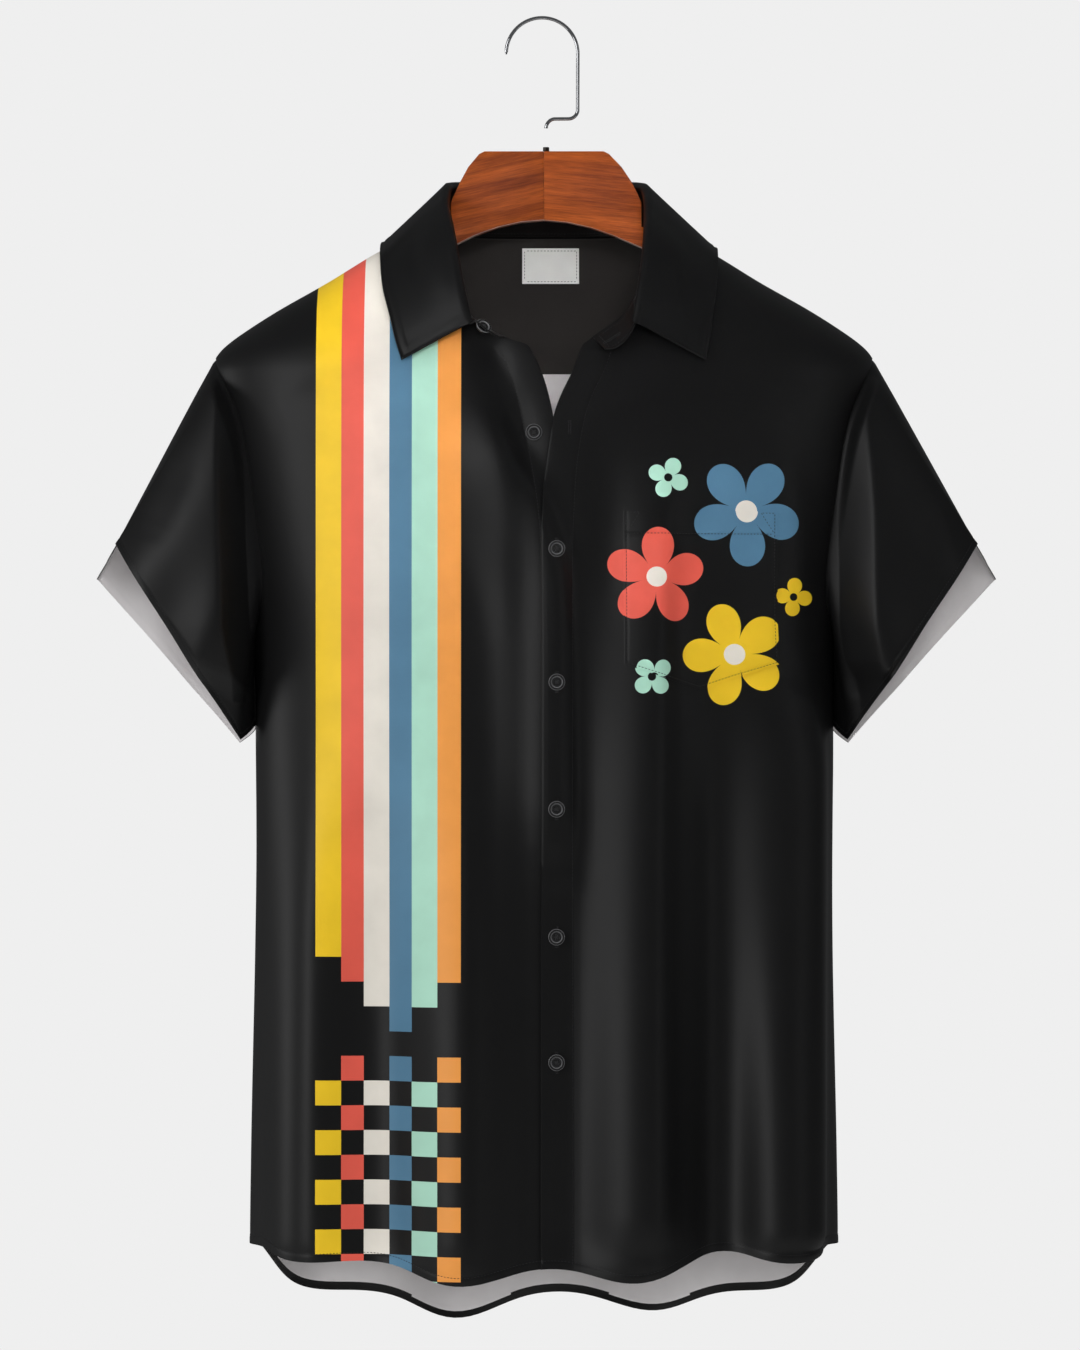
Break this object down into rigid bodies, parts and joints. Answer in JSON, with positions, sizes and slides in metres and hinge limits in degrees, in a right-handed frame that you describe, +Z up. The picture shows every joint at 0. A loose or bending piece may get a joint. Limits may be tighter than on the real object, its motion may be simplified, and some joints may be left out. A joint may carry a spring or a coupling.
{
  "type": "hawaiian shirt on a wooden hanger",
  "caption": "Short-sleeved button-front shirt with a turned-down collar, chest pocket and vertical stripes, hanging open at the neck on a wooden hanger with a wire hook",
  "frame": {"origin": "the inside top of the hook, where it rests on a rail", "axes": "+Z up, -Y towards the shirt's front, +X towards the wearer's left"},
  "size_m": [0.6624, 0.2214, 0.9717],
  "materials": {
    "printed_cloth": "black smooth polyester with a soft satin sheen, printed with stripes and motifs, pale on its reverse",
    "lining_cloth": "plain black polyester",
    "label_cloth": "pale grey woven tape, bare",
    "button": "black polished resin",
    "wood": "red-brown stained and lacquered wood",
    "hook_chrome": "bright chrome-plated wire",
    "ferrule_steel": "dark dull steel"
  },
  "bodies": {
    "root": {"left_front": "printed_cloth", "right_front": "printed_cloth", "back": "printed_cloth", "yoke": "printed_cloth", "left_sleeve": "printed_cloth", "right_sleeve": "printed_cloth", "collar_stand": "printed_cloth", "collar_leaf": "printed_cloth", "chest_pocket": "printed_cloth", "inner_yoke": "lining_cloth", "neck_label": "label_cloth", "button_1": "button", "button_2": "button", "button_3": "button", "button_4": "button", "button_5": "button", "button_neck": "button", "button_collar": "button", "hanger_left": "wood", "hanger_right": "wood", "hook": "hook_chrome", "ferrule": "ferrule_steel"}
  },
  "joints": []
}
